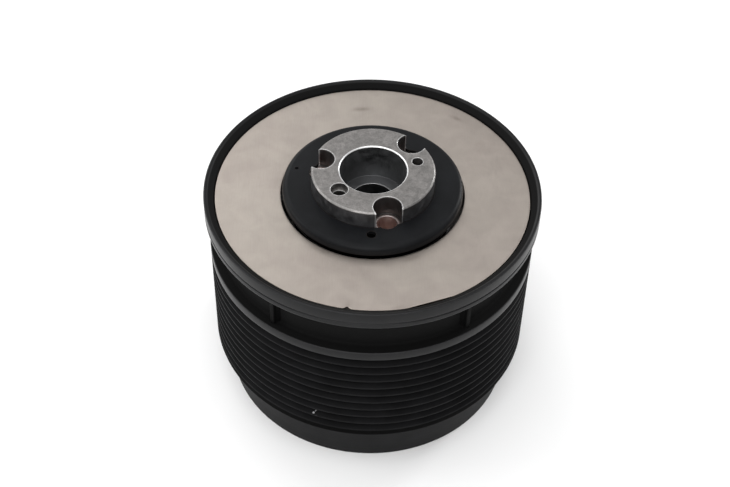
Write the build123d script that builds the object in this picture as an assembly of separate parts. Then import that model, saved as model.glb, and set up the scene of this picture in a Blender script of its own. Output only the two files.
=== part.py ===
"""Electromagnetic clutch with a ten-rib belt pulley.

The field (coil and its shell) stands still on its base.  The hub runs in the field on a thin bearing and
carries the pulley on a double-row bearing, so the pulley idles until the coil draws the armature plate
down on to the pulley's friction face.  Three leaf springs join the armature to the hub and lift it back.

Millimetres, +Z up along the shaft axis, origin at the centre of the base face.
"""
import os
from math import cos, radians, sin, tan

from build123d import *

# ---- driving dimensions: heights, from the base face up ----
BASE_BAND_TOP = 16.2        # top of the plain band under the pulley
PULLEY_GAP = 0.8            # running gap between that band and the pulley
BOTTOM_LAND = 2.9           # plain land under the lowest groove
TOP_LAND = 3.2              # plain land over the highest groove
NECK_HIGH = 12.6            # upper land to the guard rim's lower edge
FACE_ABOVE_RIM = 0.3        # friction face above the rim's lower edge
AIR_GAP = 0.5               # armature to friction face, coil off
ARMATURE_THICK = 3.6
STEP_RELIEF = 1.0           # the armature's inner step above its lower face, where the springs lie
HUB_FLANGE_THICK = 5.2
COVER_THICK = 1.2
BOSS_STAND = 6.0            # hub boss above the cover

# ---- driving dimensions: radii ----
PULLEY_R = 52.4
PILOT_R = 10.6
BOLT_HOLE_R = 6.75
SHAFT_R = 10.0

# ---- clearances ----
RUNNING = 0.4               # between an outer and an inner turning part
POLE_GAP = 0.5              # radial magnetic gap on each side of the field shell
RACE_CLEAR = 0.12           # ball to raceway
EDGE = 0.4                  # broken edge on turned parts

# ---- multi-rib pulley ----
RIB_COUNT = 10
RIB_PITCH = 3.56
RIB_DEPTH = 2.7
RIB_FLANK = 20.0            # half the groove angle, degrees
RIB_MOUTH = 1.43            # half a groove's width at the pulley's outside
SHELL_WALL = 4.0            # under the groove roots

# ---- neck between pulley and guard rim ----
WEB_COUNT = 5
WEB_FIRST = -53.5           # azimuth of the first web, degrees
WEB_THICK = 2.0
WEB_REACH = 2.2             # web beyond the drum
WEB_ROOT = 1.0              # web inside the drum
DRUM_WALL = 3.1
DISC_SEAT = 1.0             # step that the rotor disc is pressed against
RIM_OVER = 1.1              # guard rim beyond the pulley
RIM_WALL = 3.15
RIM_UNDER = 2.6             # thickness of the rim's inner foot under the friction face
RIM_LIP = 1.95              # rim top above the armature's top face
LIP_FLAT = 0.4
RIM_FOOT = 0.6              # flat under the rim, outside the neck
RIM_GROOVE_Z = 2.2          # decorative turned groove above the rim's lower edge
RIM_GROOVE = 0.35

# ---- hub ----
PILOT_DEPTH = 12.6
PILOT_CHAMFER = 0.3
WEB_DEPTH = 6.0             # metal between pilot bore and shaft bore
KEY_WIDTH = 6.0
KEY_DEPTH = 2.8
BOLT_COUNT = 3
BOLT_FIRST = -74.0          # azimuth of the first tapped hole, degrees
TAPPED_R = 3.3              # M8 core
NOTCH_R = 4.5               # M8 clearance cut through the boss
NOTCH_WALL = 2.1            # pilot bore to the notches
BOSS_WALL = 2.3             # boss beyond the bolt circle
CORE_WALL = 0.6             # core outside the tapped holes
CORE_ABOVE = 4.4            # core's lower face above the main bearing
HUB_FLANGE_BEVEL = 0.9
FLANGE_EDGE = 0.6           # flange outside the spring rivets' heads
SHOULDER = 2.5              # height of the shoulders that the bearings stand against
SLEEVE_WALL = 2.2           # sleeve outside the keyway
HUB_CLEAR_BASE = 0.6        # hub's end above the foot's hollow
JACK_R, JACK_WALL, JACK_AZ = 1.75, 2.1, 16.7
DOWEL_R, DOWEL_WALL, DOWEL_AZ = 2.15, 0.55, 222.2
DOWEL_SINK_R, DOWEL_SINK = 2.75, 2.6
SMALL_HOLE_DEPTH = 9.0

# ---- pressed cover ----
COVER_BEND = 1.7            # outer bend radius
COVER_SKIRT = 1.4
COVER_FIT = 0.1             # to the boss
FLANGE_FIT = 0.3            # to the hub flange
COVER_PORT_R = 3.5
VENT_R, VENT_OUT, VENT_AZ = 1.45, 3.1, -90.0      # its centre is that far outside the boss
PUNCH_R, PUNCH_IN, PUNCH_AZ = 0.65, 3.5, 166.3    # its centre is that far inside the cover's edge

# ---- main bearing, 35 x 55 x 20 double row ----
MAIN_SECTION, MAIN_WIDTH = 10.0, 20.0
MAIN_SUNK = 8.9             # bearing's top under the friction face
MAIN_BALL_R = 3.175
MAIN_BALLS = 17
# ---- field bearing, 30 x 47 x 9 ----
FIELD_SECTION = 8.5
FIELD_BALL_R = 2.4
FIELD_BALLS = 16
# ---- bearing details shared by both ----
RING_LAND = 0.6             # half the gap between the rings, share of ball radius
CAGE_HALF = 1.2
CAGE_BASE = 0.85
CAGE_SEAL_GAP = 0.155
CAGE_SHIELD_GAP = 0.43
SEAL_INSET = 0.3
SEAL_THICK = 0.8
SHIELD_THICK = 0.4
SEAL_CLEAR = 0.2
CLIP_THICK = 1.6
CLIP_SIDE = 0.05
CLIP_BITE = 0.9
CLIP_STAND = 2.2
CLIP_LAND = 4.0             # metal past a bearing that holds its clip
BORE_CLIP_GAP, SHAFT_CLIP_GAP = 14.0, 7.0

# ---- rotor disc ----
DISC_THICK = 7.4
TUBE_WALL = 3.5
TUBE_LIP = 1.9
TUBE_LIP_THICK = 4.0
CONE_RUN = 2.0              # radial run of the cone from the lip up to the friction face
STEP_OVER = 0.5             # friction face reaches that far in past the armature's step
SLOT_IN, SLOT_WIDE, SLOT_COUNT, SLOT_SPAN = 2.5, 1.6, 4, 78.0
LINING_IN, LINING_OUT, LINING_DEPTH = 2.0, 1.3, 1.6    # from the slots, and from the disc's edge

# ---- armature ----
ARMATURE_CLEAR = 0.6        # bore to the cover
STEP_WIDE = 6.8             # inner step that makes room for the springs
BALANCE_CUT = 0.55          # balancing flat, inside the outer edge
BALANCE_AZ = -68.5
BALANCE_DEPTH = 1.4
FLUX_DEPTH = 2.0

# ---- leaf springs and rivets ----
SPRING_COUNT = 3
SPRING_THICK = 0.6
SPRING_WIDTH = 5.0
SPRING_CLEAR = 0.6          # spring to the hub's core
SPRING_SWEEP = 50.0         # azimuth from the hub rivet to the armature rivet
SPRING_FIRST = -104.0
RIVET_R = 1.3
RIVET_HEAD_R = 2.3
RIVET_HEAD = 1.1
RIVET_COVER = 0.8           # metal left over a blind rivet

# ---- field shell and coil ----
BAND_STEP = 2.5             # band beyond the shell's outer wall
FOOT_WIDTH = 6.7
FOOT_RISE = 4.0
FLOOR_THICK = 8.0
OUTER_POLE, INNER_POLE = 3.6, 3.1
FIELD_TOP_GAP = 1.0
SEAT_SHOULDER = 1.5
SEAT_SHOULDER_THICK = 2.0
BOBBIN_WALL = 1.5
BOBBIN_FIT = 0.1
WINDING_INSET = 0.3         # winding below the bobbin's rim
POTTING_THICK = 3.5
BASE_BOLT_R, BASE_BOLT_COUNT, BASE_BOLT_DEPTH, BASE_BOLT_FIRST = 2.1, 4, 12.0, 45.0
LEAD_AZ = 90.0
LEAD_UP = 3.8               # lead's centre above the foot's hollow
LEAD_R = 3.0
GROMMET_BODY, GROMMET_SIT = 4.0, 0.25
GROMMET_FLANGE_R, GROMMET_STAND = 4.3, 1.2
WIRE_R, WIRE_SPACING = 0.9, 2.6

# ---- heights that follow ----
PULLEY_LOW = BASE_BAND_TOP + PULLEY_GAP
FIRST_GROOVE = PULLEY_LOW + BOTTOM_LAND + RIB_MOUTH
LAND_TOP = FIRST_GROOVE + RIB_PITCH * (RIB_COUNT - 1) + RIB_MOUTH + TOP_LAND
FLANGE_LOW = LAND_TOP + NECK_HIGH
FRICTION_Z = FLANGE_LOW + FACE_ABOVE_RIM
ARMATURE_LOW = FRICTION_Z + AIR_GAP
ARMATURE_TOP = ARMATURE_LOW + ARMATURE_THICK
RIM_TOP = ARMATURE_TOP + RIM_LIP
STEP_Z = ARMATURE_LOW + STEP_RELIEF
HUB_FLANGE_LOW = STEP_Z
HUB_FLANGE_TOP = HUB_FLANGE_LOW + HUB_FLANGE_THICK
COVER_TOP = HUB_FLANGE_TOP + COVER_THICK
HUB_TOP = COVER_TOP + BOSS_STAND
WEB_TOP = HUB_TOP - PILOT_DEPTH
WEB_LOW = WEB_TOP - WEB_DEPTH
SPRING_TOP = STEP_Z
SPRING_LOW = SPRING_TOP - SPRING_THICK
MAIN_TOP = FRICTION_Z - MAIN_SUNK
MAIN_LOW = MAIN_TOP - MAIN_WIDTH
MAIN_MID = (MAIN_TOP + MAIN_LOW) / 2
MAIN_ROW = MAIN_WIDTH / 2 - SEAL_INSET - SEAL_THICK - CAGE_SEAL_GAP - CAGE_BASE - RACE_CLEAR - MAIN_BALL_R
HUB_CORE_LOW = MAIN_TOP + CORE_ABOVE
SLEEVE_STEP = MAIN_LOW - CLIP_LAND
TUBE_LOW = MAIN_LOW - CLIP_LAND
DISC_LOW = FRICTION_Z - DISC_THICK
FIELD_TOP = DISC_LOW - FIELD_TOP_GAP
FIELD_FLOOR = FOOT_RISE + FLOOR_THICK
HUB_BOTTOM = FOOT_RISE + HUB_CLEAR_BASE
FIELD_LOW = FOOT_RISE + CLIP_LAND
FIELD_WIDTH = 2 * (FIELD_BALL_R + RACE_CLEAR + CAGE_BASE + CAGE_SHIELD_GAP + SHIELD_THICK + SEAL_INSET)
FIELD_TOP_FACE = FIELD_LOW + FIELD_WIDTH
FIELD_MID = FIELD_LOW + FIELD_WIDTH / 2
LEAD_Z = FOOT_RISE + LEAD_UP

# ---- radii that follow, the pulley and field from the outside in ----
RIM_R = PULLEY_R + RIM_OVER
RIM_IN_R = RIM_R - RIM_WALL
ARMATURE_R = RIM_IN_R - RUNNING
SHELL_IN_R = PULLEY_R - RIB_DEPTH - SHELL_WALL
DRUM_OUT_R = SHELL_IN_R + DRUM_WALL
DISC_OUT_R = SHELL_IN_R + DISC_SEAT
WEB_OUT_R = DRUM_OUT_R + WEB_REACH
FIELD_WALL_R = SHELL_IN_R - POLE_GAP
BAND_R = FIELD_WALL_R + BAND_STEP
COIL_OUT_R = FIELD_WALL_R - OUTER_POLE
FOOT_IN_R = BAND_R - FOOT_WIDTH
BASE_BOLT_AT = (FOOT_IN_R + BAND_R) / 2

# ---- radii that follow, the sleeve and bearings from the shaft out ----
FIELD_BORE_R = SHAFT_R + KEY_DEPTH + SLEEVE_WALL
FIELD_OUT_R = FIELD_BORE_R + FIELD_SECTION
FIELD_PITCH_R = (FIELD_BORE_R + FIELD_OUT_R) / 2
MAIN_BORE_R = FIELD_BORE_R + SHOULDER
MAIN_OUT_R = MAIN_BORE_R + MAIN_SECTION
MAIN_PITCH_R = (MAIN_BORE_R + MAIN_OUT_R) / 2
TUBE_OUT_R = MAIN_OUT_R + TUBE_WALL
FIELD_IN_R = TUBE_OUT_R + POLE_GAP
COIL_IN_R = FIELD_IN_R + INNER_POLE
COIL_MID_R = (COIL_IN_R + COIL_OUT_R) / 2

# ---- radii that follow, the hub and armature from the pilot bore out ----
BOLT_PCD_R = PILOT_R + NOTCH_WALL + NOTCH_R
BOSS_R = BOLT_PCD_R + BOSS_WALL
JACK_AT = PILOT_R + JACK_WALL + JACK_R
DOWEL_AT = PILOT_R + DOWEL_WALL + DOWEL_SINK_R
HUB_CORE_R = BOLT_PCD_R + TAPPED_R + CORE_WALL
SPRING_IN_R = HUB_CORE_R + SPRING_CLEAR + SPRING_WIDTH / 2
HUB_FLANGE_R = SPRING_IN_R + RIVET_HEAD_R + FLANGE_EDGE
COVER_R = HUB_FLANGE_R + FLANGE_FIT + COVER_THICK
VENT_AT = BOSS_R + VENT_OUT
PUNCH_AT = COVER_R - PUNCH_IN
ARMATURE_BORE_R = COVER_R + ARMATURE_CLEAR
STEP_R = ARMATURE_BORE_R + STEP_WIDE
SPRING_OUT_R = (ARMATURE_BORE_R + STEP_R) / 2
DISC_FACE_R = STEP_R - STEP_OVER
SLOT_R0 = DISC_FACE_R + SLOT_IN
SLOT_R1 = SLOT_R0 + SLOT_WIDE
LINING_R0 = SLOT_R1 + LINING_IN
LINING_R1 = DISC_OUT_R - LINING_OUT
BALANCE_AT = ARMATURE_R - BALANCE_CUT
BOLT_AZIMUTHS = [BOLT_FIRST + 360.0 * k / BOLT_COUNT for k in range(BOLT_COUNT)]


def turned(*points):
    """A solid of revolution about Z from (radius, height) points."""
    return revolve(Plane.XZ * make_face(Polyline(*points, close=True)), Axis.Z)


def ring(r0, r1, z0, z1):
    """A plain ring, or a disc when r0 is 0."""
    return turned((r0, z0), (r1, z0), (r1, z1), (r0, z1))


def post(r, z0, z1, at=0.0, azimuth=0.0):
    """A cylinder along Z whose centre lies at that radius and azimuth."""
    a = radians(azimuth)
    place = Pos(at * cos(a), at * sin(a), z0)
    return place * Cylinder(r, z1 - z0, align=(Align.CENTER, Align.CENTER, Align.MIN))


def around(count, first, make):
    """The shapes that make(azimuth) gives, evenly spaced about the axis."""
    return [make(first + 360.0 * k / count) for k in range(count)]


def sector(r0, r1, z0, z1, middle, span):
    """A slot-shaped arc about the axis with round ends."""
    mid, half = (r0 + r1) / 2, (r1 - r0) / 2
    arc = Plane.XZ * make_face(Polyline((r0, z0), (r1, z0), (r1, z1), (r0, z1), close=True))
    body = Rot(0, 0, middle - span / 2) * revolve(arc, Axis.Z, span)
    ends = [post(half, z0, z1, mid, middle + side * span / 2) for side in (-1, 1)]
    return body + ends


# ---------------------------------------------------------------- field, which stands still
def field_shell():
    """U-shaped magnetic shell with the plain outer band, the coil's annular pocket and the bearing seat."""
    body = turned(
        (FIELD_OUT_R, FOOT_RISE), (FOOT_IN_R, FOOT_RISE), (FOOT_IN_R, 0), (BAND_R - EDGE, 0),
        (BAND_R, EDGE), (BAND_R, BASE_BAND_TOP - EDGE), (BAND_R - EDGE, BASE_BAND_TOP),
        (FIELD_WALL_R, BASE_BAND_TOP), (FIELD_WALL_R, FIELD_TOP), (COIL_OUT_R, FIELD_TOP),
        (COIL_OUT_R, FIELD_FLOOR), (COIL_IN_R, FIELD_FLOOR), (COIL_IN_R, FIELD_TOP),
        (FIELD_IN_R, FIELD_TOP), (FIELD_IN_R, FIELD_TOP_FACE + SEAT_SHOULDER_THICK),
        (FIELD_OUT_R - SEAT_SHOULDER, FIELD_TOP_FACE + SEAT_SHOULDER_THICK),
        (FIELD_OUT_R - SEAT_SHOULDER, FIELD_TOP_FACE), (FIELD_OUT_R, FIELD_TOP_FACE),
    )
    body -= ring(0, FIELD_OUT_R + CLIP_BITE, FIELD_LOW - CLIP_THICK, FIELD_LOW)
    body -= around(
        BASE_BOLT_COUNT, BASE_BOLT_FIRST, lambda a: post(BASE_BOLT_R, 0, BASE_BOLT_DEPTH, BASE_BOLT_AT, a))
    out = Rot(0, 0, LEAD_AZ) * Pos(COIL_MID_R, 0, LEAD_Z) * Rot(0, 90, 0)
    body -= out * Cylinder(LEAD_R, BAND_R, align=(Align.CENTER, Align.CENTER, Align.MIN))
    body -= post(LEAD_R, LEAD_Z, FIELD_FLOOR + EDGE, COIL_MID_R, LEAD_AZ)
    return body


def coil_bobbin():
    """Moulded spool that the wire is wound on."""
    low, top = FIELD_FLOOR, FIELD_TOP - POTTING_THICK
    r0, r1 = COIL_IN_R + BOBBIN_FIT, COIL_OUT_R - BOBBIN_FIT
    return turned(
        (r0, low), (r1, low), (r1, low + BOBBIN_WALL), (r0 + BOBBIN_WALL, low + BOBBIN_WALL),
        (r0 + BOBBIN_WALL, top - BOBBIN_WALL), (r1, top - BOBBIN_WALL), (r1, top), (r0, top),
    )


def coil_winding():
    """The copper winding, filling the spool."""
    low, top = FIELD_FLOOR + BOBBIN_WALL, FIELD_TOP - POTTING_THICK - BOBBIN_WALL
    return ring(COIL_IN_R + BOBBIN_FIT + BOBBIN_WALL, COIL_OUT_R - WINDING_INSET, low, top)


def coil_potting():
    """Resin cast over the spool, level with the poles."""
    return ring(COIL_IN_R, COIL_OUT_R, FIELD_TOP - POTTING_THICK, FIELD_TOP - EDGE)


def lead_grommet():
    """Rubber grommet in the band, with a passage for each of the two coil leads."""
    place = Rot(0, 0, LEAD_AZ) * Pos(BAND_R - GROMMET_BODY, 0, LEAD_Z) * Rot(0, 90, 0)
    start = (Align.CENTER, Align.CENTER, Align.MIN)
    stem = GROMMET_BODY + GROMMET_SIT
    body = Cylinder(LEAD_R, stem, align=start)
    body += Pos(0, 0, stem) * Cylinder(GROMMET_FLANGE_R, GROMMET_STAND, align=start)
    for side in (-1, 1):
        reach = stem + GROMMET_STAND
        body -= Pos(0, side * WIRE_SPACING / 2, 0) * Cylinder(WIRE_R, reach, align=start)
    return place * body


# ---------------------------------------------------------------- rolling bearings
def bearing_rings(bore_r, out_r, low, top, ball_r, rows):
    """Inner and outer ring with a raceway groove for each row of balls."""
    pitch = (bore_r + out_r) / 2
    land = ball_r * RING_LAND
    inner, outer = ring(bore_r, pitch - land, low, top), ring(pitch + land, out_r, low, top)
    for z in rows:
        track = Pos(0, 0, z) * Torus(pitch, ball_r + RACE_CLEAR)
        inner -= track
        outer -= track
    return inner, outer


def balls(pitch, ball_r, rows, count):
    """The balls of every row, each its own solid."""
    made = []
    for z in rows:
        made += around(count, 0, lambda a, z=z: Rot(0, 0, a) * Pos(pitch, 0, z) * Sphere(ball_r))
    return Compound(children=made)


def cage(pitch, ball_r, z, count, side):
    """Crown cage with one open pocket for each ball; its closed rim is below for side -1, above for +1."""
    pocket = ball_r + RACE_CLEAR
    near, far = z - side * CAGE_HALF, z + side * (pocket + CAGE_BASE)
    body = ring(pitch - CAGE_HALF, pitch + CAGE_HALF, min(near, far), max(near, far))
    for k in range(count):
        body -= Rot(0, 0, 360.0 * k / count) * Pos(pitch, 0, z) * Sphere(pocket)
    return body


def seals(pitch, ball_r, low, top, thick):
    """Two flat seals held by the outer ring, one at each end."""
    land = ball_r * RING_LAND
    r0, r1 = pitch - land + SEAL_CLEAR, pitch + land
    lower = ring(r0, r1, low + SEAL_INSET, low + SEAL_INSET + thick)
    upper = ring(r0, r1, top - SEAL_INSET - thick, top - SEAL_INSET)
    return Compound(children=[lower, upper])


def circlip(seat_r, low, outward):
    """Spring ring in a groove: outward for a bore, inward for a shaft, with a gap between its ends."""
    bite = CLIP_BITE - EDGE / 2
    r0, r1 = (seat_r - CLIP_STAND, seat_r + bite) if outward else (seat_r - bite, seat_r + CLIP_STAND)
    body = ring(r0, r1, low + CLIP_SIDE, low + CLIP_THICK - CLIP_SIDE)
    gap = BORE_CLIP_GAP if outward else SHAFT_CLIP_GAP
    opening = Pos(0, -seat_r, low) * Box(gap, 4 * CLIP_STAND, 4 * CLIP_THICK)
    return body - opening


# ---------------------------------------------------------------- hub, which drives the shaft
def hub():
    """Boss, flange and sleeve in one piece, with the pilot bore above a web and the shaft bore below it."""
    clip_low = MAIN_LOW - CLIP_THICK
    body = turned(
        (SHAFT_R, HUB_BOTTOM + EDGE), (SHAFT_R, WEB_LOW), (BOLT_HOLE_R, WEB_LOW),
        (BOLT_HOLE_R, WEB_TOP), (PILOT_R, WEB_TOP), (PILOT_R, HUB_TOP - PILOT_CHAMFER),
        (PILOT_R + PILOT_CHAMFER, HUB_TOP), (BOSS_R - EDGE, HUB_TOP), (BOSS_R, HUB_TOP - EDGE),
        (BOSS_R, HUB_FLANGE_TOP), (HUB_FLANGE_R - HUB_FLANGE_BEVEL, HUB_FLANGE_TOP),
        (HUB_FLANGE_R, HUB_FLANGE_TOP - HUB_FLANGE_BEVEL), (HUB_FLANGE_R, HUB_FLANGE_LOW),
        (HUB_CORE_R, HUB_FLANGE_LOW), (HUB_CORE_R, HUB_CORE_LOW), (MAIN_BORE_R + SHOULDER, HUB_CORE_LOW),
        (MAIN_BORE_R + SHOULDER, MAIN_TOP), (MAIN_BORE_R, MAIN_TOP), (MAIN_BORE_R, SLEEVE_STEP),
        (FIELD_BORE_R, SLEEVE_STEP), (FIELD_BORE_R, HUB_BOTTOM + EDGE), (FIELD_BORE_R - EDGE, HUB_BOTTOM),
        (SHAFT_R + EDGE, HUB_BOTTOM),
    )
    body -= ring(MAIN_BORE_R - CLIP_BITE, HUB_CORE_R, clip_low, MAIN_LOW)
    body -= ring(FIELD_BORE_R - CLIP_BITE, HUB_CORE_R, FIELD_LOW - CLIP_THICK, FIELD_LOW)
    key_reach = SHAFT_R + KEY_DEPTH
    keyway = Box(KEY_WIDTH, key_reach, WEB_LOW - HUB_BOTTOM, align=(Align.CENTER, Align.MIN, Align.MIN))
    body -= Pos(0, 0, HUB_BOTTOM) * keyway
    for a in BOLT_AZIMUTHS:
        body -= post(NOTCH_R, HUB_FLANGE_TOP, HUB_TOP, BOLT_PCD_R, a)
        body -= post(TAPPED_R, HUB_CORE_LOW, HUB_FLANGE_TOP, BOLT_PCD_R, a)
    body -= post(JACK_R, HUB_TOP - SMALL_HOLE_DEPTH, HUB_TOP, JACK_AT, JACK_AZ)
    body -= post(DOWEL_R, HUB_TOP - SMALL_HOLE_DEPTH, HUB_TOP, DOWEL_AT, DOWEL_AZ)
    body -= post(DOWEL_SINK_R, HUB_TOP - DOWEL_SINK, HUB_TOP, DOWEL_AT, DOWEL_AZ)
    body -= around(SPRING_COUNT, SPRING_FIRST, lambda a: hub_rivet_shank(a))
    return body


def hub_rivet_shank(azimuth):
    """The shank of a spring rivet in the hub flange."""
    return post(RIVET_R, SPRING_LOW, HUB_FLANGE_TOP - RIVET_COVER, SPRING_IN_R, azimuth)


def armature_rivet_shank(azimuth):
    """The shank of a spring rivet in the armature's inner step."""
    return post(RIVET_R, SPRING_LOW, ARMATURE_TOP - RIVET_COVER, SPRING_OUT_R, azimuth + SPRING_SWEEP)


def rivet_head(at, azimuth):
    """A low domed head under the spring."""
    low = SPRING_LOW - RIVET_HEAD
    head = post(RIVET_HEAD_R, low, SPRING_LOW, at, azimuth)
    return chamfer(head.edges().group_by(Axis.Z)[0], RIVET_HEAD / 2)


def hub_rivets():
    """Rivets that hold the springs to the hub flange."""
    return Compound(children=around(
        SPRING_COUNT, SPRING_FIRST, lambda a: hub_rivet_shank(a) + rivet_head(SPRING_IN_R, a)))


def armature_rivets():
    """Rivets that hold the springs to the armature."""
    return Compound(children=around(
        SPRING_COUNT, SPRING_FIRST,
        lambda a: armature_rivet_shank(a) + rivet_head(SPRING_OUT_R, a + SPRING_SWEEP)))


def leaf_spring(azimuth):
    """Flat strap from a hub rivet out to an armature rivet, with round ends."""
    a, b = radians(azimuth), radians(azimuth + SPRING_SWEEP)
    x0, y0 = SPRING_IN_R * cos(a), SPRING_IN_R * sin(a)
    x1, y1 = SPRING_OUT_R * cos(b), SPRING_OUT_R * sin(b)
    half = SPRING_WIDTH / 2
    length = ((x1 - x0) ** 2 + (y1 - y0) ** 2) ** 0.5
    strap = Plane((x0, y0, SPRING_LOW), x_dir=(x1 - x0, y1 - y0, 0), z_dir=(0, 0, 1))
    start = (Align.MIN, Align.CENTER, Align.MIN)
    end = (Align.CENTER, Align.CENTER, Align.MIN)
    body = Box(length, SPRING_WIDTH, SPRING_THICK, align=start)
    for x in (0, length):
        body += Pos(x, 0, 0) * Cylinder(half, SPRING_THICK, align=end)
    for x in (0, length):
        body -= Pos(x, 0, 0) * Cylinder(RIVET_R, SPRING_THICK, align=end)
    return strap.location * body


def cover_plate():
    """Pressed steel cover round the boss, with a rolled shoulder, bolt ports, a vent and a punch mark."""
    bend_r = COVER_R - COVER_BEND
    bend_z = COVER_TOP - COVER_BEND
    low = bend_z - COVER_SKIRT
    inner = COVER_BEND - COVER_THICK
    k = cos(radians(45))
    outer_mid = (bend_r + COVER_BEND * k, bend_z + COVER_BEND * k)
    inner_mid = (bend_r + inner * k, bend_z + inner * k)
    outline = [
        Line((BOSS_R + COVER_FIT, HUB_FLANGE_TOP), (BOSS_R + COVER_FIT, COVER_TOP)),
        Line((BOSS_R + COVER_FIT, COVER_TOP), (bend_r, COVER_TOP)),
        ThreePointArc((bend_r, COVER_TOP), outer_mid, (COVER_R, bend_z)),
        Line((COVER_R, bend_z), (COVER_R, low)),
        Line((COVER_R, low), (COVER_R - COVER_THICK, low)),
        Line((COVER_R - COVER_THICK, low), (COVER_R - COVER_THICK, bend_z)),
        ThreePointArc((COVER_R - COVER_THICK, bend_z), inner_mid, (bend_r, HUB_FLANGE_TOP)),
        Line((bend_r, HUB_FLANGE_TOP), (BOSS_R + COVER_FIT, HUB_FLANGE_TOP)),
    ]
    body = revolve(Plane.XZ * make_face(outline), Axis.Z)
    for a in BOLT_AZIMUTHS:
        body -= post(COVER_PORT_R, HUB_FLANGE_TOP, COVER_TOP, BOLT_PCD_R, a)
    body -= post(VENT_R, HUB_FLANGE_TOP, COVER_TOP, VENT_AT, VENT_AZ)
    body -= post(PUNCH_R, COVER_TOP - COVER_THICK / 2, COVER_TOP, PUNCH_AT, PUNCH_AZ)
    return body


def spacer_sleeve():
    """Tube on the hub sleeve between its step and the field bearing."""
    return ring(FIELD_BORE_R, MAIN_BORE_R, FIELD_TOP_FACE, SLEEVE_STEP)


# ---------------------------------------------------------------- pulley and rotor
def groove(z):
    """One belt groove, as the ring that is cut away."""
    over = EDGE
    slope = tan(radians(RIB_FLANK))
    half = RIB_MOUTH - RIB_DEPTH * slope
    mouth = RIB_MOUTH + over * slope
    return turned(
        (PULLEY_R - RIB_DEPTH, z - half), (PULLEY_R + over, z - mouth),
        (PULLEY_R + over, z + mouth), (PULLEY_R - RIB_DEPTH, z + half),
    )


def pulley_shell():
    """Belt pulley, neck and guard rim in one casting; five webs tie the rim to the pulley."""
    step = FRICTION_Z - RIM_UNDER
    body = turned(
        (SHELL_IN_R, PULLEY_LOW), (PULLEY_R - EDGE, PULLEY_LOW), (PULLEY_R, PULLEY_LOW + EDGE),
        (PULLEY_R, LAND_TOP - EDGE), (PULLEY_R - EDGE, LAND_TOP), (DRUM_OUT_R, LAND_TOP),
        (DRUM_OUT_R, step), (DRUM_OUT_R + RIM_FOOT, step), (RIM_R - EDGE, FLANGE_LOW),
        (RIM_R, FLANGE_LOW + EDGE), (RIM_R, FLANGE_LOW + RIM_GROOVE_Z - RIM_GROOVE),
        (RIM_R - RIM_GROOVE, FLANGE_LOW + RIM_GROOVE_Z), (RIM_R, FLANGE_LOW + RIM_GROOVE_Z + RIM_GROOVE),
        (RIM_R, RIM_TOP - EDGE), (RIM_R - EDGE, RIM_TOP), (RIM_R - EDGE - LIP_FLAT, RIM_TOP),
        (RIM_IN_R, ARMATURE_TOP + EDGE), (RIM_IN_R, FRICTION_Z), (DISC_OUT_R, FRICTION_Z),
        (DISC_OUT_R, DISC_LOW), (SHELL_IN_R, DISC_LOW),
    )
    for k in range(RIB_COUNT):
        body -= groove(FIRST_GROOVE + RIB_PITCH * k)
    return body + around(WEB_COUNT, WEB_FIRST, lambda a: neck_web(a))


def neck_web(azimuth):
    """Upright web in the neck between the pulley's top and the guard rim's foot."""
    low, top = LAND_TOP, FRICTION_Z - RIM_UNDER
    reach = WEB_REACH + WEB_ROOT
    bar = Box(reach, WEB_THICK, top - low, align=(Align.MAX, Align.CENTER, Align.MIN))
    return Rot(0, 0, azimuth) * Pos(WEB_OUT_R, 0, low) * bar


def rotor_disc():
    """Magnetic rotor pressed into the pulley: bearing tube, friction disc and four flux slots."""
    lip_low = MAIN_TOP
    lip_top = MAIN_TOP + TUBE_LIP_THICK
    body = turned(
        (MAIN_OUT_R, TUBE_LOW), (TUBE_OUT_R, TUBE_LOW), (TUBE_OUT_R, DISC_LOW), (DISC_OUT_R, DISC_LOW),
        (DISC_OUT_R, FRICTION_Z), (DISC_FACE_R, FRICTION_Z), (DISC_FACE_R - CONE_RUN, lip_top),
        (MAIN_OUT_R - TUBE_LIP, lip_top), (MAIN_OUT_R - TUBE_LIP, lip_low),
        (MAIN_OUT_R, lip_low),
    )
    body -= ring(0, MAIN_OUT_R + CLIP_BITE, MAIN_LOW - CLIP_THICK, MAIN_LOW)
    body -= ring(LINING_R0, LINING_R1, FRICTION_Z - LINING_DEPTH, FRICTION_Z)
    body -= around(SLOT_COUNT, 0, lambda a: sector(SLOT_R0, SLOT_R1, DISC_LOW, FRICTION_Z, a, SLOT_SPAN))
    return body


def friction_ring():
    """Friction lining set flush in the rotor face."""
    return ring(LINING_R0, LINING_R1, FRICTION_Z - LINING_DEPTH, FRICTION_Z)


# ---------------------------------------------------------------- armature
def armature_plate():
    """Ground steel ring with an inner step for the springs, a blind flux groove and a balancing flat."""
    body = turned(
        (ARMATURE_BORE_R, STEP_Z), (STEP_R, STEP_Z), (STEP_R, ARMATURE_LOW), (ARMATURE_R, ARMATURE_LOW),
        (ARMATURE_R, ARMATURE_TOP), (ARMATURE_BORE_R, ARMATURE_TOP),
    )
    body -= ring(SLOT_R0, SLOT_R1, ARMATURE_LOW, ARMATURE_LOW + FLUX_DEPTH)
    cut = Box(BALANCE_DEPTH * 2, ARMATURE_R, BALANCE_DEPTH * 2, align=(Align.MIN, Align.CENTER, Align.MIN))
    body -= Rot(0, 0, BALANCE_AZ) * Pos(BALANCE_AT, 0, ARMATURE_TOP - BALANCE_DEPTH) * cut
    body -= around(SPRING_COUNT, SPRING_FIRST, lambda a: armature_rivet_shank(a))
    return body


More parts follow.
